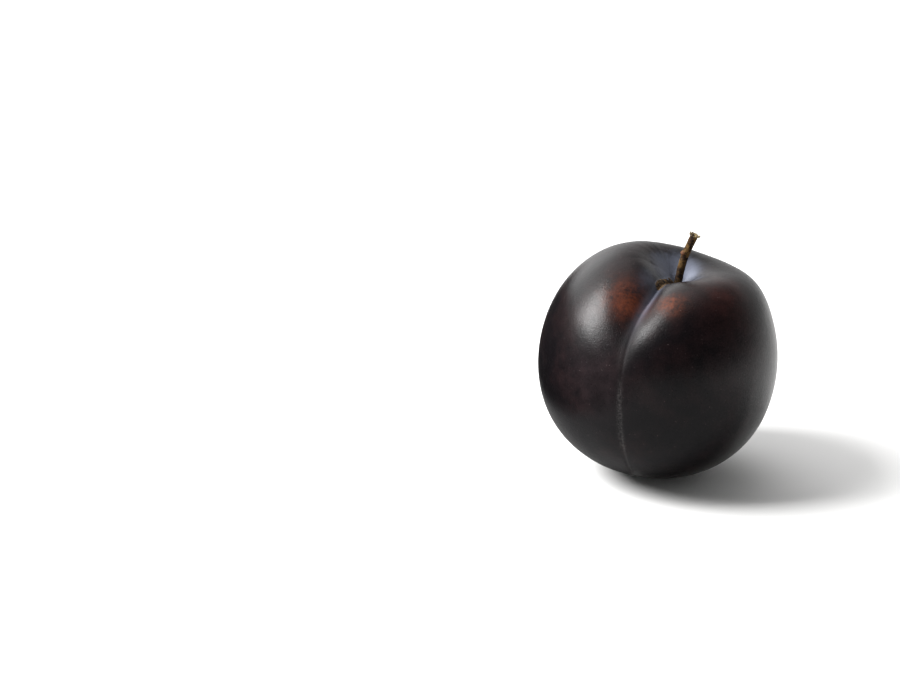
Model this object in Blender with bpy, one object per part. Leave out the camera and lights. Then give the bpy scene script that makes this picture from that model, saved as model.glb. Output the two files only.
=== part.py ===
"""A black plum standing on its own base, with its stem.

Two pieces: the fruit, which grew as one solid, and the woody stem that sits in the hollow
at its top. The origin is the middle of the small flat spot that the fruit rests on. +Z is
up, and the seam (the groove that runs from the stem down one side) faces -Y.

Every size is in millimetres here, and becomes metres in the meshes.
"""

import math

import bmesh
import bpy
from mathutils import Euler, Matrix, Vector

MM = 0.001

# The fruit, before it leans. Its own axis runs from the blossom end up to the stem.
RADIUS = 30.9
HALF_HEIGHT = 30.3
SHOULDERS = 0.027         # share by which the body is squarer than a ball
BELLY = 0.034             # share by which the lower half is fuller than the upper one
BLOSSOM_END = 0.039       # share by which the bottom end reaches further down
RIGHT_SHOULDER = 0.023    # share by which the +X side is squarer still, near the top
SADDLE = 1.6              # the rim is lower at the seam and opposite it than at the sides

# The hollow that holds the stem: a wide bowl, with a small pit at its middle.
BOWL_X = 2.6
BOWL_Y = -0.4
BOWL_DEPTH = 7.4
BOWL_RADIUS = 9.0
PIT_DEPTH = 2.5
PIT_RADIUS = 3.5

# The seam: deepest where it leaves the hollow, and a fine line below the widest part.
SEAM_DEPTH = 4.5
SEAM_LINE_DEPTH = 0.15
SEAM_HALF_WIDTH = 4.3
SEAM_DEEPEST_AT = 0.5     # polar angles, in radians
SEAM_REACH = 0.58
SEAM_WANDER = 2.1         # how far it strays to either side on its way down
SEAM_DIP = 1.3            # the broad shallow dip on both sides of the groove
SEAM_DIP_HALF_WIDTH = 8.0

# How it stands.
SEAM_TURN = -19.7         # degrees about its own axis, so the seam is left of the front
LEAN_RIGHT = 6.6          # degrees towards +X
LEAN_BACK = 1.5           # degrees towards +Y
FLAT_PRESS = 0.5          # how much the base is pressed flat where it rests

# The stem: a short woody stalk with a flared foot, a node, and a thick broken end.
STEM_LENGTH = 13.0
STEM_RADIUS = 1.12
STEM_FOOT_RADIUS = 1.7
STEM_END_RADIUS = 1.42
STEM_NODE_AT = 0.6        # share of the stem's length
STEM_NODE_RADIUS = 0.22   # added to the radius there
STEM_BEND = 0.7           # how far the middle bows towards -X
STEM_LEAN_RIGHT = 16.5    # degrees from upright towards +X
STEM_LEAN_BACK = 2.0      # degrees towards +Y
STEM_POINTS = 17
STEM_X = 2.6              # where its foot stands, about the fruit's own axis
STEM_Y = -1.0
STEM_RISE = 1.95          # from the pit's floor to the foot, whose edge then clears the wall

# The fruit's mesh: meridians and rings, with the meridians drawn together at the seam.
AROUND = 72
DOWN = 48
CLOSER_AT_SEAM = 0.5


def bump(distance, reach):
    """A smooth bell: 1 in the middle, and close to 0 at twice the reach."""
    return math.exp(-((distance / reach) ** 2))


def clamp(value):
    return min(1.0, max(0.0, value))


def fruit_point(polar, azimuth):
    """A point of the skin, in millimetres about the fruit's own middle.

    polar runs from 0 at the stem to pi at the blossom end; azimuth is 0 at the seam.
    """
    across = math.sin(polar)
    along = math.cos(polar)
    right = max(0.0, math.sin(azimuth))
    swell = (1.0 + SHOULDERS * math.sin(2.0 * polar) ** 2 - BELLY * along * across**2
             + BLOSSOM_END * max(0.0, -along) ** 3
             + RIGHT_SHOULDER * right * (bump(polar - 0.8, 0.22) - bump(polar - 0.45, 0.18)))
    ring = RADIUS * swell * across
    x = ring * math.sin(azimuth)
    y = -ring * math.cos(azimuth)
    z = HALF_HEIGHT * swell * along

    # The saddle, then the hollow for the stem.
    z -= SADDLE * 4.0 * (max(0.0, along) * across * math.cos(azimuth)) ** 2
    upper = clamp(0.5 + 1.5 * along)
    from_stem = math.hypot(x - BOWL_X, y - BOWL_Y)
    bowl = BOWL_DEPTH * bump(from_stem, BOWL_RADIUS)
    pit = PIT_DEPTH * bump(from_stem, PIT_RADIUS)
    z -= upper * (bowl + pit)

    # The seam is pressed in square to the skin, and fades out behind.
    front = clamp(0.8 * (1.0 + math.cos(azimuth)) - 0.3) * clamp(ring / 6.0)
    from_seam = abs(x + SEAM_WANDER * math.sin(2.0 * polar - 0.9))
    depth = SEAM_DEPTH * bump(polar - SEAM_DEEPEST_AT, SEAM_REACH) + SEAM_LINE_DEPTH
    groove = depth * math.exp(-from_seam / SEAM_HALF_WIDTH)
    dip = SEAM_DIP * bump(from_seam, SEAM_DIP_HALF_WIDTH) * bump(polar - 0.55, 0.6)
    inward = front * (groove + dip)
    x -= inward * across * math.sin(azimuth)
    y += inward * across * math.cos(azimuth)
    z -= inward * along
    return Vector((x, y, z))


def standing_turn():
    """The turn from the fruit's own axes to how it stands."""
    lean = Euler((-math.radians(LEAN_BACK), math.radians(LEAN_RIGHT), 0.0), "XYZ")
    return lean.to_matrix() @ Matrix.Rotation(math.radians(SEAM_TURN), 3, "Z")


def material(name, colour, roughness):
    finish = bpy.data.materials.new(name)
    finish.use_nodes = True
    shader = finish.node_tree.nodes["Principled BSDF"]
    shader.inputs["Base Color"].default_value = (*colour, 1.0)
    shader.inputs["Roughness"].default_value = roughness
    shader.inputs["Metallic"].default_value = 0.0
    finish.diffuse_color = (*colour, 1.0)
    return finish


def make_fruit(collection):
    """The fruit: a ball whose points follow the rule above, cut flat where it rests."""
    bm = bmesh.new()
    bmesh.ops.create_uvsphere(bm, u_segments=AROUND, v_segments=DOWN, radius=1.0)
    turn = standing_turn()
    for vert in bm.verts:
        polar = math.acos(max(-1.0, min(1.0, vert.co.z)))
        turned = math.atan2(vert.co.x, -vert.co.y)
        azimuth = turned - CLOSER_AT_SEAM * math.sin(turned)
        vert.co = fruit_point(polar, azimuth) * MM

    # Cut the base flat, level with the table.
    down = turn.transposed() @ Vector((0.0, 0.0, -1.0))
    lowest = max(vert.co.dot(down) for vert in bm.verts)
    plane = down * (lowest - FLAT_PRESS * MM)
    bmesh.ops.bisect_plane(bm, geom=bm.verts[:] + bm.edges[:] + bm.faces[:], dist=1e-6,
                           plane_co=plane, plane_no=down, clear_outer=True)
    rim = [edge for edge in bm.edges if edge.is_boundary]
    flat = bmesh.ops.contextual_create(bm, geom=rim)["faces"][0]
    bmesh.ops.recalc_face_normals(bm, faces=bm.faces[:])
    base = flat.calc_center_median_weighted()

    mesh = bpy.data.meshes.new("fruit")
    bm.to_mesh(mesh)
    bm.free()
    mesh.shade_smooth()
    mesh.set_sharp_from_angle(angle=math.radians(50.0))
    fruit = bpy.data.objects.new("fruit", mesh)
    fruit.rotation_euler = turn.to_euler()
    fruit.location = -(turn @ base)
    mesh.materials.append(material("plum_skin", (0.028, 0.012, 0.016), 0.28))
    collection.objects.link(fruit)
    return fruit


def stem_radius(share):
    """The stem's radius, in millimetres, at a share of the way up it."""
    foot = (STEM_FOOT_RADIUS - STEM_RADIUS) * bump(share, 0.13)
    end = (STEM_END_RADIUS - STEM_RADIUS) * bump(1.0 - share, 0.25)
    node = STEM_NODE_RADIUS * bump(share - STEM_NODE_AT, 0.06)
    return STEM_RADIUS + foot + end + node


def make_stem(collection, fruit):
    """The stem: a tube along a bowed line, wider at its foot, its node and its end."""
    lean = Euler((-math.radians(STEM_LEAN_BACK), math.radians(STEM_LEAN_RIGHT), 0.0), "XYZ")
    line = bpy.data.curves.new("stem", "CURVE")
    line.dimensions = "3D"
    line.bevel_depth = MM
    line.bevel_resolution = 3
    line.use_fill_caps = True
    line.use_radius = True
    spline = line.splines.new("POLY")
    spline.points.add(STEM_POINTS - 1)
    for index, point in enumerate(spline.points):
        share = index / (STEM_POINTS - 1)
        bow = -STEM_BEND * math.sin(math.pi * share)
        point.co = (bow * MM, 0.0, share * STEM_LENGTH * MM, 1.0)
        point.radius = stem_radius(share)
    stem = bpy.data.objects.new("stem", line)
    stem.rotation_euler = lean

    # The foot stands over the pit.
    polar = math.asin(math.hypot(STEM_X, STEM_Y) / RADIUS)
    floor = fruit_point(polar, math.atan2(STEM_X, -STEM_Y)) * MM
    foot = floor + Vector((0.0, 0.0, STEM_RISE * MM))
    stem.location = fruit.location + fruit.rotation_euler.to_matrix() @ foot
    line.materials.append(material("plum_stem", (0.12, 0.07, 0.035), 0.75))
    collection.objects.link(stem)
    return stem


def main():
    for item in list(bpy.data.objects):
        bpy.data.objects.remove(item, do_unlink=True)
    collection = bpy.data.collections.new("plum")
    bpy.context.scene.collection.children.link(collection)
    stand = bpy.data.objects.new("rest_spot", None)
    stand.empty_display_size = 5.0 * MM
    collection.objects.link(stand)
    fruit = make_fruit(collection)
    stem = make_stem(collection, fruit)
    for piece in (fruit, stem):
        piece.parent = stand


main()
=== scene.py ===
# %% [markdown]
# # A black plum with its stem
#
# A plum of this kind has a smooth skin, almost black, with a red glow where the light came
# through the leaves, and a pale wax bloom that is left where nothing rubs it off: down in the
# hollow round the stem and along the seam. The stem is a short piece of bark-covered twig,
# broken off at the top.
#
# Both pieces follow rules, so both are made with Geometry Nodes that this script builds.
# The model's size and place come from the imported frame.

# %% Load the frame
import math

import bpy
from mathutils import Euler, Matrix, Vector


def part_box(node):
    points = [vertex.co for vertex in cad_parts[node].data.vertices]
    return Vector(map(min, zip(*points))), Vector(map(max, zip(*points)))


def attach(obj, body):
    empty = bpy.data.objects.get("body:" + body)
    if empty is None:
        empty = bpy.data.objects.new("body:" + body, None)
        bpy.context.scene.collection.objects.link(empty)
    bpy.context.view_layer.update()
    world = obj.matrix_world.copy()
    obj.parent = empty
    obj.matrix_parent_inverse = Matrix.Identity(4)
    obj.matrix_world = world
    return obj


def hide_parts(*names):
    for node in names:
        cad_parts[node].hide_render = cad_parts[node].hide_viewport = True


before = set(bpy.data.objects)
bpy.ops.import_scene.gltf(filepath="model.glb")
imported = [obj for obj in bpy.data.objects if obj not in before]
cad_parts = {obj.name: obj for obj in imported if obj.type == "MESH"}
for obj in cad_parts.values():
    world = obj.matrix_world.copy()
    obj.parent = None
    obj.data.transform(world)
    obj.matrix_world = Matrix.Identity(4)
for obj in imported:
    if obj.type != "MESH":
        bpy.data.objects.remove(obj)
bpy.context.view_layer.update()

MM = 0.001
fruit_low, fruit_high = (Vector(corner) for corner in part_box("fruit"))
stem_low, stem_high = (Vector(corner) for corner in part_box("stem"))
print("fruit, mm:", [round(side / MM, 1) for side in fruit_high - fruit_low])
print("stem, mm:", [round(side / MM, 1) for side in stem_high - stem_low])

# %% [markdown]
# ## Rules written as sums
#
# The plum's shape is a few sums on two angles. In a node tree each plus and each sine is a
# node of its own, and wiring a hundred of them by hand is hard to read. So a small class
# stands for "a number inside a node tree": adding two of them makes an Add node, and so on.
# The same class works in geometry trees and in material trees, because both have the Math
# node.

# %% A number inside a node tree
class Number:
    """A number in a node tree; sums with it make Math nodes."""

    def __init__(self, tree, socket):
        self.tree = tree
        self.socket = socket

    def use(self, operation, *others, clamp=False):
        node = self.tree.nodes.new("ShaderNodeMath")
        node.operation = operation
        node.use_clamp = clamp
        for slot, value in zip(node.inputs, (self, *others)):
            if isinstance(value, Number):
                self.tree.links.new(value.socket, slot)
            else:
                slot.default_value = value
        return Number(self.tree, node.outputs[0])

    def __add__(self, other):
        return self.use("ADD", other)

    def __mul__(self, other):
        return self.use("MULTIPLY", other)

    __radd__ = __add__
    __rmul__ = __mul__

    def __sub__(self, other):
        return self.use("SUBTRACT", other)

    def __rsub__(self, other):
        return self * -1.0 + other

    def __truediv__(self, other):
        return self.use("DIVIDE", other)

    def __neg__(self):
        return self * -1.0

    def sin(self):
        return self.use("SINE")

    def cos(self):
        return self.use("COSINE")

    def at_least(self, other):
        return self.use("MAXIMUM", other)

    def power(self, exponent):
        return self.use("POWER", exponent)

    def clamped(self):
        return self.use("ADD", 0.0, clamp=True)

    def bell(self, reach):
        """1 where the number is 0, and close to 0 at twice the reach."""
        share = self / reach
        return (share * share * -1.0).use("EXPONENT")


def length_of(x, y):
    """How long a step of x and y is."""
    return (x * x + y * y).use("SQRT")


def node_of(tree, kind, **inputs):
    """Adds a node, with its inputs by name: a Number or a socket is linked, a value is set."""
    node = tree.nodes.new(kind)
    for name, value in inputs.items():
        slot = node.inputs[name.replace("_", " ").title()]
        if isinstance(value, Number):
            tree.links.new(value.socket, slot)
        elif isinstance(value, bpy.types.NodeSocket):
            tree.links.new(value, slot)
        else:
            slot.default_value = value
    return node


# %% [markdown]
# ## Trees with named inputs
#
# Each tree's sizes are inputs with names, so that a reader can open the tree and try other
# values. A modifier's inputs are set by the socket's identifier, before the object is first
# evaluated. The result is then copied out as a plain mesh.

# %% Make a tree, and a plain mesh from it
def new_tree(name, sizes):
    """A geometry tree whose inputs are the named sizes and one material."""
    tree = bpy.data.node_groups.new(name, "GeometryNodeTree")
    tree.interface.new_socket(name="Geometry", in_out="OUTPUT",
                              socket_type="NodeSocketGeometry")
    for size_name, value in sizes.items():
        whole = isinstance(value, int)
        socket = tree.interface.new_socket(
            name=size_name, in_out="INPUT",
            socket_type="NodeSocketInt" if whole else "NodeSocketFloat")
        socket.default_value = value
    tree.interface.new_socket(name="Finish", in_out="INPUT",
                              socket_type="NodeSocketMaterial")
    source = tree.nodes.new("NodeGroupInput")
    given = {socket.name: Number(tree, socket) for socket in source.outputs if socket.name}
    return tree, given


def finish_tree(tree, given, geometry):
    """Realizes what the tree made, gives it the finish, and sends it out."""
    realize = node_of(tree, "GeometryNodeRealizeInstances", geometry=geometry)
    paint = node_of(tree, "GeometryNodeSetMaterial", geometry=realize.outputs[0],
                    material=given["Finish"])
    sink = tree.nodes.new("NodeGroupOutput")
    tree.links.new(paint.outputs[0], sink.inputs[0])


def grow(name, tree, sizes, finish):
    """Runs a tree on an empty mesh, and returns its result as a plain object."""
    seed = bpy.data.objects.new(name + "_seed", bpy.data.meshes.new(name + "_seed"))
    bpy.context.scene.collection.objects.link(seed)
    modifier = seed.modifiers.new("rule", "NODES")
    modifier.node_group = tree
    for item in tree.interface.items_tree:
        if item.in_out == "INPUT" and item.name in sizes:
            modifier[item.identifier] = sizes[item.name]
        elif item.in_out == "INPUT":
            modifier[item.identifier] = finish
    graph = bpy.context.evaluated_depsgraph_get()
    mesh = bpy.data.meshes.new_from_object(seed.evaluated_get(graph),
                                           preserve_all_data_layers=True, depsgraph=graph)
    mesh.name = name
    bpy.data.objects.remove(seed, do_unlink=True)
    piece = bpy.data.objects.new(name, mesh)
    bpy.context.scene.collection.objects.link(piece)
    mesh.shade_smooth()
    mesh.calc_loop_triangles()
    print(name, "has", len(mesh.loop_triangles), "triangles")
    return piece


# %% [markdown]
# ## The shape of the fruit
#
# A plum is a ball that is a little squarer at its shoulders and fuller below the middle. A
# wide bowl sinks into the top, with a small pit in it for the stem. A seam leaves the bowl as
# a deep fold, and runs down the front until it is a fine line. Beside the stem, a dry corky
# split stands a little proud of the skin. The ball comes from the UV Sphere node, and its
# points are moved by the rule. The points are drawn closer together at the stem and along the
# seam, where the detail is.

# %% The fruit's sizes, in millimetres and radians
BODY = {
    "Radius": 30.9,
    "Half Height": 30.3,
    "Shoulders": 0.027,
    "Belly": 0.034,
    "Blossom End": 0.039,
    "Right Shoulder": 0.023,
    "Shoulder At": 0.8,
    "Shoulder Reach": 0.22,
    "Rim At": 0.45,
    "Rim Reach": 0.18,
    "Saddle": 1.6,
}
HOLLOW = {
    "Bowl X": 2.6,
    "Bowl Y": -0.4,
    "Bowl Depth": 7.4,
    "Bowl Radius": 9.0,
    "Pit Depth": 2.5,
    "Pit Radius": 3.5,
}
SEAM = {
    "Seam Depth": 4.5,
    "Deepest At": 0.5,
    "Fold Reach": 0.51,
    "Seam Half Width": 4.3,
    "Seam Wander": 2.1,
    "Line Depth": 0.11,
    "Line Half Width": 0.45,
    "Seam Dip": 1.3,
    "Dip Half Width": 8.0,
    "Dip At": 0.55,
    "Dip Reach": 0.6,
}
SURFACE = {"Split Rise": 0.55, "Unevenness": 0.13}
MESH = {"Around": 360, "Down": 260, "Closer At Stem": 0.45, "Closer At Seam": 0.7}
FRUIT = {**BODY, **HOLLOW, **SEAM, **SURFACE, **MESH}

# %% The rule of the split
SPLIT_AT = 0.25              # polar angle of its middle, in radians
SPLIT_HALF_LENGTH = 0.22
SPLIT_ASIDE = -0.2           # millimetres to the right of the seam
SPLIT_HALF_WIDTH = 1.35
RING_X, RING_Y = 1.5, -2.2   # the ring at the stem's foot
RING_RADIUS = 1.5


def split_at(seam_side, polar, front, x, y):
    """The corky split: a short line from the stem's foot to the fold, and a ring there."""
    ends = ((polar - SPLIT_AT) / SPLIT_HALF_LENGTH).power(2.0)
    line = (seam_side - SPLIT_ASIDE).bell(SPLIT_HALF_WIDTH) * (ends * -ends).use("EXPONENT")
    ring = length_of(x - RING_X, y - RING_Y).bell(RING_RADIUS)
    return (line * front).at_least(ring)


# %% The rule of the fruit
def fold_rounding(polar):
    """How far, in millimetres, the fold's corner is rounded: more as it runs down."""
    lower = (polar * 2.2 - 1.5).clamped()      # 0 above 39 degrees, and 1 below 65
    return lower * 1.4 + 0.15


def fruit_rule(given, polar, azimuth):
    """The moved point, how far it is from the seam and from the stem, and the split."""
    across, along = polar.sin(), polar.cos()
    below = (-along).at_least(0.0)
    right = azimuth.sin().at_least(0.0)
    squarer = (polar * 2.0).sin().power(2.0) * given["Shoulders"]
    fuller = along * across * across * given["Belly"]
    lower = below.power(3.0) * given["Blossom End"]
    shoulder = (polar - given["Shoulder At"]).bell(given["Shoulder Reach"])
    shoulder = right * (shoulder - (polar - given["Rim At"]).bell(given["Rim Reach"]))
    swell = squarer - fuller + lower + shoulder * given["Right Shoulder"] + 1.0
    ring = swell * across * given["Radius"]
    x = ring * azimuth.sin()
    y = -(ring * azimuth.cos())
    z = swell * along * given["Half Height"]

    # The rim is lower in front and behind than at the sides; inside it is the hollow.
    saddle = (along.at_least(0.0) * across * azimuth.cos()).power(2.0)
    z = z - saddle * given["Saddle"] * 4.0
    upper = (along * 1.5 + 0.5).clamped()
    from_stem = length_of(x - given["Bowl X"], y - given["Bowl Y"])
    bowl = from_stem.bell(given["Bowl Radius"]) * given["Bowl Depth"]
    pit = from_stem.bell(given["Pit Radius"]) * given["Pit Depth"]
    z = z - upper * (bowl + pit)

    # The seam is pressed in square to the skin, and fades out behind and at the stem.
    front = ((azimuth.cos() + 1.0) * 0.8 - 0.3).clamped() * (ring / 6.0).clamped()
    seam_side = x + (polar * 2.0 - 0.9).sin() * given["Seam Wander"]
    depth = (polar - given["Deepest At"]).bell(given["Fold Reach"]) * given["Seam Depth"]
    soften = fold_rounding(polar)
    away = (seam_side * seam_side + soften * soften).use("SQRT") - soften
    fold = (away / given["Seam Half Width"] * -1.0).use("EXPONENT") * depth
    line = seam_side.bell(given["Line Half Width"]) * given["Line Depth"]
    dip = (polar - given["Dip At"]).bell(given["Dip Reach"])
    dip = seam_side.bell(given["Dip Half Width"]) * dip
    split = split_at(seam_side, polar, front, x, y)
    inward = front * (fold + line + dip * given["Seam Dip"]) - split * given["Split Rise"]
    x = x - inward * across * azimuth.sin()
    y = y + inward * across * azimuth.cos()
    z = z - inward * along
    return (x, y, z), seam_side, from_stem, split


# %% Build the fruit's tree
def vector_of(tree, x, y, z):
    """Three numbers, or plain values, as one vector."""
    return node_of(tree, "ShaderNodeCombineXYZ", x=x, y=y, z=z).outputs[0]


def store(tree, geometry, name, value, kind):
    """Writes a field on the points under a name, for the finish to read."""
    node = tree.nodes.new("GeometryNodeStoreNamedAttribute")
    node.data_type = kind
    node.inputs["Name"].default_value = name
    tree.links.new(geometry, node.inputs["Geometry"])
    tree.links.new(getattr(value, "socket", value), node.inputs["Value"])
    return node.outputs[0]


def noise(tree, vector, scale, detail=3.0, roughness=0.55):
    """Soft noise, mostly between 0.3 and 0.7."""
    node = node_of(tree, "ShaderNodeTexNoise", vector=vector, scale=scale, detail=detail,
                   roughness=roughness)
    return Number(tree, node.outputs[0])


def along_normal(tree, distance):
    """A move along the surface's normal."""
    normal = tree.nodes.new("GeometryNodeInputNormal").outputs[0]
    outward = node_of(tree, "ShaderNodeVectorMath", vector=normal)
    outward.operation = "SCALE"
    tree.links.new(distance.socket, outward.inputs["Scale"])
    return outward.outputs[0]


def fruit_tree():
    """The tree of the fruit: a ball, moved by the rule, and then made slightly uneven."""
    tree, given = new_tree("plum body", FRUIT)
    ball = node_of(tree, "GeometryNodeMeshUVSphere", segments=given["Around"],
                   rings=given["Down"], radius=1.0)
    spot = node_of(tree, "ShaderNodeSeparateXYZ",
                   vector=tree.nodes.new("GeometryNodeInputPosition").outputs[0])
    ball_x, ball_y, ball_z = (Number(tree, socket) for socket in spot.outputs)

    # Draw the points together at the stem and at the seam.
    polar = ball_z.use("ARCCOSINE")
    polar = polar - polar.sin() * (polar * 0.5).cos().power(2.0) * given["Closer At Stem"]
    azimuth = ball_x.use("ARCTAN2", -ball_y)
    azimuth = azimuth - azimuth.sin() * given["Closer At Seam"]

    (x, y, z), seam_side, from_stem, split = fruit_rule(given, polar, azimuth)
    own_place = vector_of(tree, polar.sin() * azimuth.sin(),
                          -(polar.sin() * azimuth.cos()), polar.cos())
    geometry = store(tree, ball.outputs["Mesh"], "own_place", own_place, "FLOAT_VECTOR")
    for name, value in (("seam_side", seam_side), ("from_stem", from_stem),
                        ("split", split), ("polar", polar)):
        geometry = store(tree, geometry, name, value, "FLOAT")
    moved = node_of(tree, "GeometryNodeSetPosition", geometry=geometry,
                    position=vector_of(tree, x * MM, y * MM, z * MM))

    # No fruit is perfectly even: push the skin in by broad, very shallow hollows.
    broad = noise(tree, own_place, scale=3.5, detail=2.0)
    small = noise(tree, own_place, scale=11.0, detail=2.0)
    inward = (broad + small * 0.25) * given["Unevenness"] * -MM
    uneven = node_of(tree, "GeometryNodeSetPosition", geometry=moved.outputs[0],
                     offset=along_normal(tree, inward))
    finish_tree(tree, given, uneven.outputs[0])
    return tree


# %% [markdown]
# ## Standing the fruit up
#
# The rule makes the fruit about its own axis. It is then turned as it stands, moved into the
# frame's box, and pressed flat where it touches the table, so that it really rests.

# %% Turn it and set it down
SEAM_TURN = -19.7         # degrees about the fruit's own axis
LEAN_RIGHT = 6.6
LEAN_BACK = 1.5


def corners_of(piece):
    """The lowest and the highest corner of a piece's box."""
    points = [vert.co for vert in piece.data.vertices]
    return (Vector([min(point[axis] for point in points) for axis in range(3)]),
            Vector([max(point[axis] for point in points) for axis in range(3)]))


def stand_up(piece, low, high):
    """Turns the fruit, sets its top and its sides in the box, and presses its base flat."""
    lean = Euler((-math.radians(LEAN_BACK), math.radians(LEAN_RIGHT), 0.0), "XYZ")
    turn = lean.to_matrix() @ Matrix.Rotation(math.radians(SEAM_TURN), 3, "Z")
    piece.data.transform(turn.to_4x4())
    mine_low, mine_high = corners_of(piece)
    shift = (low + high) / 2.0 - (mine_low + mine_high) / 2.0
    shift.z = high.z - mine_high.z
    for vert in piece.data.vertices:
        vert.co += shift
        vert.co.z = max(vert.co.z, 0.0)
    print("fruit moved by, mm:", [round(move / MM, 2) for move in shift])


skin = bpy.data.materials.new("plum_skin")
fruit = grow("plum_fruit", fruit_tree(), FRUIT, skin)
stand_up(fruit, fruit_low, fruit_high)

# %% [markdown]
# ## The skin
#
# The skin is nearly black, and what is seen of it is mostly gloss. Under the gloss lie, in
# this order: the dark flesh colour, a red glow on both lobes beside the seam, a faint brown
# tint, a painted reflection low on the left and on the right cheek, pale pin-prick pores, the
# corky brown split beside the stem, the wax bloom, and grey specks along the line of the seam.
# The bloom is blue-white and dull, so it also takes the gloss away; on the hollow's far wall
# it is painted paler, as a painted highlight where the lamp lights it. Everything is painted
# in the fruit's own axes, which its tree stored on it.

# %% Helpers for finishes
def attribute(tree, name, output="Fac"):
    """Reads what was stored on the points under a name."""
    node = tree.nodes.new("ShaderNodeAttribute")
    node.attribute_name = name
    return node.outputs[output]


def step(value, low, high):
    """0 below low, 1 above high, and smooth between; a low above the high turns it round."""
    node = value.tree.nodes.new("ShaderNodeMapRange")
    node.interpolation_type = "SMOOTHSTEP"
    value.tree.links.new(value.socket, node.inputs["Value"])
    node.inputs["From Min"].default_value = low
    node.inputs["From Max"].default_value = high
    return Number(value.tree, node.outputs["Result"])


def blend(tree, share, under, over):
    """Paints one colour over another by a share."""
    node = tree.nodes.new("ShaderNodeMix")
    node.data_type = "RGBA"
    tree.links.new(share.socket, node.inputs["Factor"])
    for slot, colour in ((node.inputs["A"], under), (node.inputs["B"], over)):
        if isinstance(colour, bpy.types.NodeSocket):
            tree.links.new(colour, slot)
        else:
            slot.default_value = (*colour, 1.0)
    return node.outputs["Result"]


def direction(polar, azimuth):
    """A unit vector in the fruit's own axes, from angles in degrees."""
    polar, azimuth = math.radians(polar), math.radians(azimuth)
    return (math.sin(polar) * math.sin(azimuth), -math.sin(polar) * math.cos(azimuth),
            math.cos(polar))


# %% What the skin's paint reads
class SkinFields:
    """The places and angles stored on the fruit, and the noises that several paints share."""

    def __init__(self, tree):
        self.tree = tree
        self.place = attribute(tree, "own_place", "Vector")
        self.seam_side, self.from_stem, self.polar, self.split = (
            Number(tree, attribute(tree, name))
            for name in ("seam_side", "from_stem", "polar", "split"))
        self.x, self.y, _ = (Number(tree, socket) for socket in node_of(
            tree, "ShaderNodeSeparateXYZ", vector=self.place).outputs)
        self.front = step(self.y, 0.1, -0.3)
        self.clouds = self.noise(scale=2.2, detail=4.0)
        self.mottle = self.noise(scale=9.0, detail=5.0, roughness=0.6)
        self.grain = self.noise(scale=95.0, detail=2.0)

    def noise(self, **settings):
        return noise(self.tree, self.place, **settings)

    def near(self, middle, reach):
        """A soft patch: 1 in one direction from the fruit's middle, fading with reach."""
        away = node_of(self.tree, "ShaderNodeVectorMath", vector=self.place)
        away.operation = "DISTANCE"
        away.inputs[1].default_value = Vector(middle).normalized()
        return Number(self.tree, away.outputs["Value"]).bell(reach)


# %% The flesh colour, the glow and the painted reflection
DARK = (0.0024, 0.0016, 0.0021)
DARK_RED = (0.0070, 0.0027, 0.0028)
GLOW = (0.088, 0.021, 0.007)
BROWN = (0.034, 0.0085, 0.0065)
# The next colour is a painted reflection: a dim sheen laid into the skin's colour.
PAINTED_REFLECTION = (0.034, 0.022, 0.024)

LEFT_LOBE = direction(44.0, -17.0)
RIGHT_LOBE = direction(42.0, 15.5)
RIGHT_CREST = direction(39.0, 58.0)
LOW_LEFT = (-0.27, -0.96, 0.03)
RIGHT_CHEEK = (0.85, -0.43, 0.31)


def paint_flesh(fields):
    """Nearly black, with a red glow on both lobes beside the seam, and a faint painted
    reflection.
    """
    tree, mottle = fields.tree, fields.mottle
    reddish = step(fields.clouds * 0.7 + mottle * 0.3, 0.42, 0.66)
    colour = blend(tree, reddish, DARK, DARK_RED)

    left = fields.near(LEFT_LOBE, reach=0.17)
    right = fields.near(RIGHT_LOBE, reach=0.10)
    flecks = step(fields.noise(scale=34.0, detail=4.0, roughness=0.7), 0.30, 0.72)
    lobes = (left * 0.78).at_least(right * 0.82)
    glow = lobes * (mottle + flecks) * 1.1 + (mottle - 0.55) * lobes * 2.5
    colour = blend(tree, glow.clamped(), colour, GLOW)

    brown = fields.near(RIGHT_CREST, reach=0.26) + left.power(0.5) * 0.5
    colour = blend(tree, (brown * mottle * 1.1).clamped(), colour, BROWN)

    # Painted reflection: a dim greyish sheen painted in low on the left and on the right
    # cheek.
    painted_reflection = fields.near(LOW_LEFT, reach=0.32)
    painted_reflection = painted_reflection.at_least(fields.near(RIGHT_CHEEK, reach=0.38) * 0.6)
    return blend(tree, (painted_reflection * mottle * 0.6).clamped(), colour, PAINTED_REFLECTION)


# %% The pores and the cork
PORE = (0.16, 0.11, 0.11)
CORK = (0.150, 0.088, 0.034)
CORK_DARK = (0.020, 0.012, 0.008)


def pores_of(fields):
    """Pin-prick pores: the very middles of the cells of a cell pattern."""
    cells = node_of(fields.tree, "ShaderNodeTexVoronoi", vector=fields.place, scale=26.0)
    return 1.0 - step(Number(fields.tree, cells.outputs["Distance"]), 0.03, 0.10)


def cork_of(fields):
    """The split beside the stem, with a ragged edge."""
    return step(fields.split + (fields.mottle - 0.5) * 0.7, 0.36, 0.50)


def paint_marks(fields, colour, pores, cork):
    """The pores, the split, and the small dry scar at the blossom end."""
    tree = fields.tree
    colour = blend(tree, pores * step(fields.mottle, 0.45, 0.6) * 0.5, colour, PORE)
    patches = step(fields.noise(scale=48.0, detail=4.0, roughness=0.7), 0.44, 0.58)
    bark = blend(tree, patches, CORK_DARK, CORK)
    end_scar = step(fields.polar, 3.085, 3.11)
    return blend(tree, cork.at_least(end_scar), colour, bark)


# %% The bloom and the seam's specks
WAX = (0.30, 0.33, 0.43)
SEAM_GREY = (0.34, 0.33, 0.32)
# The hollow's far wall faces the lamp: the extra pale wax on it is a painted highlight.
LIT_WALL_OF_HOLLOW = (0.125, 0.085, 0.99)    # the far side of the hollow


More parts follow.
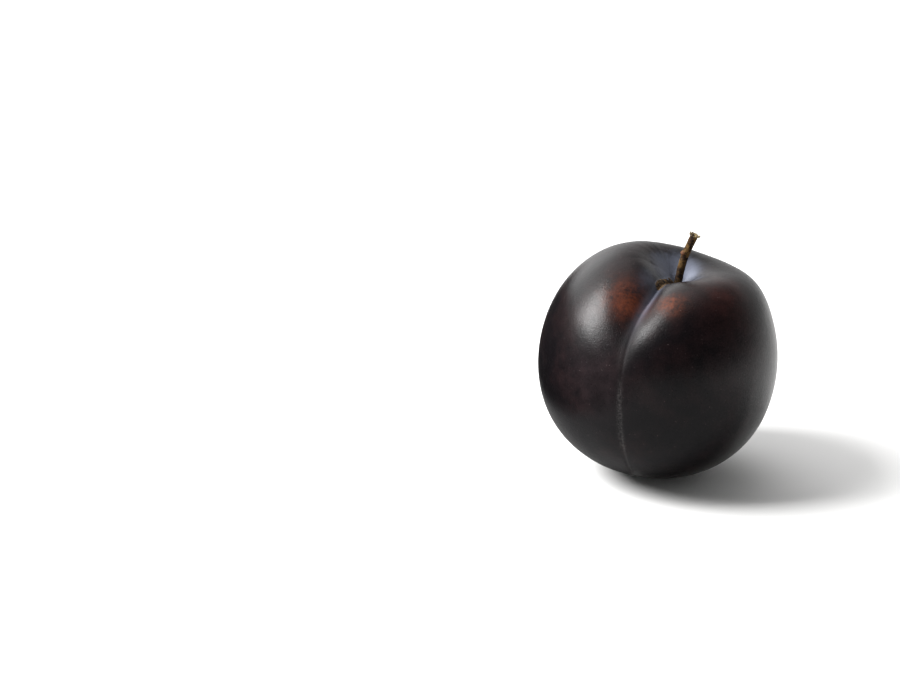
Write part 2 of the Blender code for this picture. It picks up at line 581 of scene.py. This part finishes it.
def bloom_of(fields, cork):
    """The wax: thick in the hollow and down in the fold, and a trace of it everywhere; extra
    on the hollow's far wall as a painted highlight of the lamp.
    """
    streaks = fields.noise(scale=14.0, detail=5.0, roughness=0.65)
    hollow = 1.0 - step(fields.from_stem + streaks * 8.0, 6.5, 14.0)
    hollow = hollow * step(fields.polar, 1.5, 0.9)
    rubbed_off = step(fields.x * 0.94 + fields.y * 0.34, 0.17, 0.30)
    hollow = hollow * (1.0 - rubbed_off * 0.8)
    # Painted highlight: more pale wax where the lamp lights the hollow's far wall.
    painted_lit_wall = fields.near(LIT_WALL_OF_HOLLOW, reach=0.09)

    from_seam = length_of(fields.seam_side, 0.2)
    in_fold = from_seam.bell(1.3) * fields.front * (fields.polar - 0.62).bell(0.3)
    left_of_fold = (fields.seam_side + 3.0).bell(2.2) * fields.front
    left_of_fold = left_of_fold * (fields.polar - 0.42).bell(0.16)

    wax = hollow * (0.09 + streaks * 0.56) + painted_lit_wall * 0.14 + in_fold * 0.30
    wax = wax + left_of_fold * streaks * 0.25
    trace = fields.clouds * fields.mottle * 0.012
    return (wax * (1.0 - cork) + trace).clamped()


def seam_specks_of(fields):
    """Grey specks on the lower seam, where it is a fine line."""
    specks = step(fields.noise(scale=60.0, detail=4.0, roughness=0.7), 0.38, 0.70)
    ends = step(fields.polar, 1.4, 1.7) * step(fields.polar, 2.4, 2.0)
    return fields.seam_side.bell(0.7) * fields.front * specks * ends


# %% The gloss
SKIN_ROUGHNESS = 0.31
SKIN_IOR = 1.31
BUMP_STRENGTH = 0.55
BUMP_HEIGHT = 0.00025     # metres


def set_gloss(fields, shader, wax, cork):
    """Satin, and duller where there is wax or cork, and at the lower lip of the fold."""
    lip = step(fields.polar, 0.85, 1.05) * step(fields.polar, 1.55, 1.25)
    lip = fields.seam_side.bell(1.6) * fields.front * lip
    rough = SKIN_ROUGHNESS + wax * 0.30 + cork * 0.4 + (fields.grain - 0.5) * 0.22 + lip * 0.35
    fields.tree.links.new(rough.clamped().socket, shader.inputs["Roughness"])
    shader.inputs["IOR"].default_value = SKIN_IOR


def set_relief(fields, shader, pores, cork):
    """A fine grain, small pits at the pores, and rough cork."""
    cork_relief = fields.noise(scale=45.0, detail=5.0, roughness=0.7) * cork
    relief = fields.grain * 0.35 + fields.mottle * 0.3 - pores * 0.3 + cork_relief * 6.0
    bump = node_of(fields.tree, "ShaderNodeBump", height=relief, strength=BUMP_STRENGTH,
                   distance=BUMP_HEIGHT)
    fields.tree.links.new(bump.outputs["Normal"], shader.inputs["Normal"])


# %% Paint the skin, from the flesh outwards
def paint_skin(finish):
    """Lays one paint over another, and then sets the gloss and the relief."""
    finish.use_nodes = True
    tree = finish.node_tree
    shader = tree.nodes["Principled BSDF"]
    fields = SkinFields(tree)
    pores = pores_of(fields)
    cork = cork_of(fields)
    wax = bloom_of(fields, cork)

    colour = paint_marks(fields, paint_flesh(fields), pores, cork)
    colour = blend(tree, wax, colour, WAX)
    colour = blend(tree, seam_specks_of(fields) * 0.13, colour, SEAM_GREY)
    tree.links.new(colour, shader.inputs["Base Color"])
    set_gloss(fields, shader, wax, cork)
    set_relief(fields, shader, pores, cork)


paint_skin(skin)
print("skin painted with", len(skin.node_tree.nodes), "nodes")

# %% [markdown]
# ## The stem
#
# The stem is a tube along a bowed line. It is thicker at its foot, at the bud scar above its
# middle and at its broken end, and its bark has low ridges. Curve to Mesh sweeps a circle
# along the line with the radius of the rule, and a Set Position node pushes the bark in and
# out. The end is torn, and short pointed fibres stand on it.

# %% The stem's sizes, in millimetres
STEM = {
    "Length": 14.6,
    "Radius": 1.32,
    "Foot Flare": 0.62,
    "End Flare": 0.34,
    "Scar At": 0.62,
    "Scar Size": 0.26,
    "Bow": 0.7,
    "Ridge": 0.16,
    "Knob": 0.42,
    "Fibre Length": 0.9,
    "Steps": 130,
    "Sides": 48,
}


# %% The fibres at the stem's torn end
DISC_RADIUS = 0.95        # the fibres stand on a disc about 1 across, widened afterwards
FIBRE_TILT = 0.35         # radians to each side
FULL_TURN = 6.28
THIN, THICK = 0.6, 1.5    # shares of a fibre's plain thickness
SHORT, LONG = 0.15, 1.0   # shares of the longest fibre
FIBRE_ROOT = 0.4          # millimetres that the fibres reach down into the stem
PAST_THE_END = 1.05       # their share of the stem's length, which paints them as bare wood


def random_vector(tree, low, high, seed):
    """A different vector for each point, between two corners."""
    node = node_of(tree, "FunctionNodeRandomValue", seed=seed)
    node.data_type = "FLOAT_VECTOR"
    node.inputs[0].default_value = low
    node.inputs[1].default_value = high
    return node.outputs[0]


def fibres(tree, given):
    """Short pointed fibres, scattered over a disc at the end of the stem."""
    disc = node_of(tree, "GeometryNodeMeshCircle", vertices=24, radius=DISC_RADIUS)
    disc.fill_type = "NGON"
    spots = node_of(tree, "GeometryNodeDistributePointsOnFaces", mesh=disc.outputs[0],
                    density=26.0, seed=4)
    fibre = node_of(tree, "GeometryNodeMeshCone", vertices=7, radius_top=0.03,
                    radius_bottom=0.14, depth=1.0)
    tilt = random_vector(tree, (-FIBRE_TILT, -FIBRE_TILT, 0.0),
                         (FIBRE_TILT, FIBRE_TILT, FULL_TURN), seed=5)
    size = random_vector(tree, (THIN, THIN, SHORT), (THICK, THICK, LONG), seed=6)
    stood = node_of(tree, "GeometryNodeInstanceOnPoints", points=spots.outputs[0],
                    instance=fibre.outputs[0], scale=size)
    tree.links.new(tilt, stood.inputs["Rotation"])
    wide = (given["Radius"] + given["End Flare"]) * MM * 0.92
    root = (given["Length"] - FIBRE_ROOT) * MM
    placed = node_of(tree, "GeometryNodeTransform", geometry=stood.outputs[0],
                     translation=vector_of(tree, 0.0, 0.0, root),
                     scale=vector_of(tree, wide, wide, given["Fibre Length"] * MM))
    real = node_of(tree, "GeometryNodeRealizeInstances", geometry=placed.outputs[0])
    share = node_of(tree, "ShaderNodeValue").outputs[0]
    share.default_value = PAST_THE_END
    return store(tree, real.outputs[0], "share", share, "FLOAT")


# %% The stem's tree
def curve_tube(tree, given):
    """A circle swept along a bowed line, with the share of the way up stored on it."""
    line = node_of(tree, "GeometryNodeCurvePrimitiveLine")
    line.inputs["End"].default_value = (0.0, 0.0, 1.0)
    fine = node_of(tree, "GeometryNodeResampleCurve", curve=line.outputs[0],
                   count=given["Steps"])
    share = Number(tree, tree.nodes.new("GeometryNodeSplineParameter").outputs["Factor"])
    bow = (share * math.pi).sin() * given["Bow"] * -MM
    spine = node_of(tree, "GeometryNodeSetPosition", geometry=fine.outputs[0],
                    position=vector_of(tree, bow, 0.0, share * given["Length"] * MM))
    foot = share.bell(0.12) * given["Foot Flare"]
    end = (1.0 - share).bell(0.22) * given["End Flare"]
    scar = (share - given["Scar At"]).bell(0.05) * given["Scar Size"]
    kept = store(tree, spine.outputs[0], "share", share, "FLOAT")
    thick = node_of(tree, "GeometryNodeSetCurveRadius", curve=kept,
                    radius=given["Radius"] + foot + end + scar)
    circle = node_of(tree, "GeometryNodeCurvePrimitiveCircle", resolution=given["Sides"],
                     radius=MM)
    tube = node_of(tree, "GeometryNodeCurveToMesh", curve=thick.outputs[0],
                   profile_curve=circle.outputs[0])
    tube.inputs["Fill Caps"].default_value = True
    return tube.outputs[0]


def part_of(tree, vector, axis):
    """One of the three numbers of a vector."""
    apart = node_of(tree, "ShaderNodeSeparateXYZ", vector=vector)
    return Number(tree, apart.outputs["XYZ".index(axis)])


def stem_tree():
    """The tree of the stem: a tube with rough bark, and a torn end with fibres on it."""
    tree, given = new_tree("plum stem", STEM)
    tube = curve_tube(tree, given)

    # The bark: ridges along the stem, low knobs, and one bud scar on the left.
    position = tree.nodes.new("GeometryNodeInputPosition").outputs[0]
    stretched = node_of(tree, "ShaderNodeVectorMath", vector=position)
    stretched.operation = "MULTIPLY"
    stretched.inputs[1].default_value = (1.0, 1.0, 0.3)
    ridges = noise(tree, stretched.outputs[0], scale=1500.0, detail=3.0)
    knobs = noise(tree, position, scale=900.0, detail=4.0, roughness=0.6)
    height = part_of(tree, position, "Z") / given["Length"] / MM
    facing = part_of(tree, tree.nodes.new("GeometryNodeInputNormal").outputs[0], "X")
    bud = (height - given["Scar At"]).bell(0.035) * step(facing, -0.25, -0.95)
    marked = store(tree, tube, "bud", bud, "FLOAT")
    rise = ((ridges - 0.5) * 1.4 + (knobs - 0.5) * 1.6) * given["Ridge"] + bud * given["Knob"]
    bark = node_of(tree, "GeometryNodeSetPosition", geometry=marked,
                   offset=along_normal(tree, rise * MM))

    # The end is torn: its rim is ragged, and short fibres stand on it.
    ragged = noise(tree, position, scale=1100.0, detail=2.0) - 0.6
    torn = step(height, 0.955, 1.0) * ragged * 1.8
    frayed = node_of(tree, "GeometryNodeSetPosition", geometry=bark.outputs[0],
                     offset=vector_of(tree, 0.0, 0.0, torn * MM))
    both = tree.nodes.new("GeometryNodeJoinGeometry")
    tree.links.new(fibres(tree, given), both.inputs[0])
    tree.links.new(frayed.outputs[0], both.inputs[0])
    finish_tree(tree, given, both.outputs[0])
    return tree


bark = bpy.data.materials.new("plum_stem_bark")
stem = grow("plum_stem", stem_tree(), STEM, bark)

# %% Stand the stem in its pit
STEM_LEAN_RIGHT = 16.5    # degrees
STEM_LEAN_BACK = 2.0
STEM_TO_RIGHT = 0.45      # millimetres past its plain counterpart's side


def stand_in_pit(piece, low, high):
    """Leans the stem, and sets its top and its right side by the box."""
    lean = Euler((-math.radians(STEM_LEAN_BACK), math.radians(STEM_LEAN_RIGHT), 0.0), "XYZ")
    piece.data.transform(lean.to_matrix().to_4x4())
    mine_low, mine_high = corners_of(piece)
    shift = (low + high) / 2.0 - (mine_low + mine_high) / 2.0
    shift.x = high.x - mine_high.x + STEM_TO_RIGHT * MM
    shift.z = high.z - mine_high.z
    piece.data.transform(Matrix.Translation(shift))
    print("stem moved by, mm:", [round(move / MM, 2) for move in shift])


stand_in_pit(stem, stem_low, stem_high)

# %% Paint the bark
BARK = (0.060, 0.027, 0.009)
BARK_PALE = (0.125, 0.070, 0.022)
BARK_DARK = (0.010, 0.006, 0.004)
BUD = (0.105, 0.046, 0.024)
WOOD = (0.42, 0.33, 0.18)
BARK_ROUGHNESS = 0.80
BARK_IOR = 1.25


def paint_bark(finish):
    """Patches and dark specks, darker low down, a reddish bud scar and bare wood on top."""
    finish.use_nodes = True
    tree = finish.node_tree
    shader = tree.nodes["Principled BSDF"]
    where = tree.nodes.new("ShaderNodeTexCoord").outputs["Object"]
    share = Number(tree, attribute(tree, "share"))
    bud = Number(tree, attribute(tree, "bud"))
    patches = noise(tree, where, scale=420.0, detail=5.0, roughness=0.65)
    specks = noise(tree, where, scale=1700.0, detail=4.0, roughness=0.7)

    colour = blend(tree, step(patches, 0.42, 0.60), BARK, BARK_PALE)
    dark = step(specks * 0.6 + patches * 0.4, 0.56, 0.44)
    colour = blend(tree, dark * 0.95, colour, BARK_DARK)
    colour = blend(tree, (bud * 1.3).clamped(), colour, BUD)
    wood = step(share, 0.975, 1.0) * step(patches * 0.5 + specks * 0.5, 0.45, 0.58)
    colour = blend(tree, wood, colour, WOOD)
    low_down = step(share, 0.62, 0.25)
    colour = blend(tree, low_down * 0.45, colour, BARK_DARK)
    tree.links.new(colour, shader.inputs["Base Color"])

    rough = BARK_ROUGHNESS + (specks - 0.5) * 0.3
    tree.links.new(rough.clamped().socket, shader.inputs["Roughness"])
    shader.inputs["IOR"].default_value = BARK_IOR
    bump = node_of(tree, "ShaderNodeBump", height=specks + patches, strength=0.5,
                   distance=0.0002)
    tree.links.new(bump.outputs["Normal"], shader.inputs["Normal"])


paint_bark(bark)
print("bark painted with", len(bark.node_tree.nodes), "nodes")

# %% [markdown]
# ## Table, light and camera
#
# The plum stands on a white table that runs out of view. One large soft lamp stands high on
# the left. The room is bright above and behind, and dark on the camera's side, which keeps the
# skin's face black. A bright table would shine in the gloss from below and from the left, so
# a dark card stands at the left and two grey cards lie in front and at the left. Only the
# gloss sees them.

# %% The table
TABLE_WHITE = (0.86, 0.858, 0.85)
TABLE_REACH = 1.3         # metres to each side


def make_sheet(name, corners, colour, roughness):
    """A flat sheet of one colour."""
    mesh = bpy.data.meshes.new(name)
    mesh.from_pydata(corners, [], [(0, 1, 2, 3)])
    sheet = bpy.data.objects.new(name, mesh)
    bpy.context.scene.collection.objects.link(sheet)
    finish = bpy.data.materials.new(name)
    finish.use_nodes = True
    shader = finish.node_tree.nodes["Principled BSDF"]
    shader.inputs["Base Color"].default_value = (*colour, 1.0)
    shader.inputs["Roughness"].default_value = roughness
    mesh.materials.append(finish)
    return sheet


def lying(left, right, front, back, height=0.0):
    """The corners of a sheet that lies level."""
    return [(left, front, height), (right, front, height), (right, back, height),
            (left, back, height)]


table = make_sheet("table", lying(-TABLE_REACH, TABLE_REACH, -TABLE_REACH, TABLE_REACH),
                   TABLE_WHITE, roughness=0.8)
print("table reaches", TABLE_REACH, "m to each side")

# %% The cards
CARD_HEIGHT = 0.0004      # metres above the table
CARD_SPLIT = -0.015       # where the front card ends and the left one starts


def make_card(name, corners, grey):
    """A card that only the skin's gloss sees: it keeps the light table out of the skin."""
    card = make_sheet(name, corners, (grey, grey, grey), roughness=0.9)
    card.visible_camera = False
    card.visible_shadow = False
    card.visible_diffuse = False
    print("card:", name)


make_card("dark_card_left", [(-0.065, -0.13, 0.0005), (-0.040, 0.10, 0.0005),
                             (-0.040, 0.10, 0.060), (-0.065, -0.13, 0.060)], grey=0.01)
make_card("grey_card_front", lying(-0.22, 0.13, -0.30, CARD_SPLIT, CARD_HEIGHT), grey=0.30)
make_card("grey_card_left", lying(-0.22, -0.008, CARD_SPLIT, 0.12, CARD_HEIGHT), grey=0.20)

# %% The lamp
middle = (fruit_low + fruit_high) / 2.0


def soft_lamp(name, toward, distance, width, height, watts):
    """A soft box that faces the plum from a direction."""
    lamp = bpy.data.lights.new(name, "AREA")
    lamp.shape = "RECTANGLE"
    lamp.size, lamp.size_y = width, height
    lamp.energy = watts
    holder = bpy.data.objects.new(name, lamp)
    toward = Vector(toward).normalized()
    holder.location = middle + toward * distance
    holder.rotation_euler = toward.to_track_quat("Z", "Y").to_euler()
    holder.visible_camera = False
    bpy.context.scene.collection.objects.link(holder)
    print(name, "at", [round(value, 3) for value in holder.location])


soft_lamp("soft_box", toward=(-0.735, -0.01, 0.67), distance=0.80, width=0.37, height=0.50,
          watts=15.4)

# %% The room
ROOM_DIM = 0.02           # the light from the camera's side
BEHIND_LIGHT = 0.72
ABOVE_LIGHT = 1.1
BACK_LEFT_LIGHT = 2.6     # a bright window, behind on the left
RIGHT_DIM = 0.85          # the share that is taken away high on the right
MATT_FILL = 0.21          # added for matt surfaces, which softens the table's shadow
WHITE = (1.0, 1.0, 1.0, 1.0)


def make_room():
    """The room's light by direction, and plain white where the camera looks past the table."""
    world = bpy.data.worlds.new("room")
    bpy.context.scene.world = world
    world.use_nodes = True
    tree = world.node_tree
    tree.nodes.clear()
    look = tree.nodes.new("ShaderNodeTexCoord").outputs["Generated"]
    x, y, z = (Number(tree, socket) for socket in
               node_of(tree, "ShaderNodeSeparateXYZ", vector=look).outputs)
    behind = step(y, -0.25, 0.75)
    above = step(z, 0.62, 1.0) * step(y, -0.45, 0.25)
    back_left = length_of(x + 0.50, z - 0.42).bell(0.38) * behind
    high_right = step(z, 0.48, 0.64) * step(x, 0.05, 0.45)
    strength = (behind * BEHIND_LIGHT + above * ABOVE_LIGHT) * (1.0 - high_right * RIGHT_DIM)
    strength = strength + back_left * BACK_LEFT_LIGHT + ROOM_DIM

    # Matt surfaces, such as the table, get a little more light than gloss does.
    path = tree.nodes.new("ShaderNodeLightPath")
    fill = Number(tree, path.outputs["Is Diffuse Ray"]) * MATT_FILL
    lit = node_of(tree, "ShaderNodeBackground", color=WHITE, strength=strength + fill)
    seen = node_of(tree, "ShaderNodeBackground", color=WHITE, strength=1.0)
    mix = tree.nodes.new("ShaderNodeMixShader")
    tree.links.new(path.outputs["Is Camera Ray"], mix.inputs[0])
    tree.links.new(lit.outputs[0], mix.inputs[1])
    tree.links.new(seen.outputs[0], mix.inputs[2])
    out = tree.nodes.new("ShaderNodeOutputWorld")
    tree.links.new(mix.outputs[0], out.inputs["Surface"])


make_room()
bpy.context.scene.view_settings.view_transform = "Standard"
print("room lit with", len(bpy.context.scene.world.node_tree.nodes), "nodes")

# %% The camera
CAMERA_UP = 20.0          # degrees above level
CAMERA_AWAY = 0.647       # metres
AIM_LEFT = 0.05367        # metres left of the plum's middle, and above it
AIM_UP = 0.00583
LENS = 100.0              # millimetres, as is the film's width
FILM_WIDTH = 36.0


def make_camera():
    """A long lens that looks down a little, with the plum right of the middle."""
    camera = bpy.data.cameras.new("camera")
    camera.lens = LENS
    camera.sensor_width = FILM_WIDTH
    holder = bpy.data.objects.new("camera", camera)
    rise = math.radians(CAMERA_UP)
    back = Vector((0.0, -math.cos(rise), math.sin(rise)))
    right = Vector((1.0, 0.0, 0.0))
    up = back.cross(right)
    aim = middle - right * AIM_LEFT + up * AIM_UP
    holder.location = aim + back * CAMERA_AWAY
    holder.rotation_euler = Matrix((right, up, back)).transposed().to_euler()
    bpy.context.scene.collection.objects.link(holder)
    bpy.context.scene.camera = holder
    print("camera at", [round(value, 3) for value in holder.location])


make_camera()

# %% [markdown]
# ## Fastening the pieces to the frame
#
# Each new piece rides on the plum's one body, and stands for its plain counterpart in the
# frame.

# %% Ride and replace
for piece, node, slot in ((fruit, "fruit", "skin"), (stem, "stem", "stem")):
    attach(piece, "root")
    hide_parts(node)
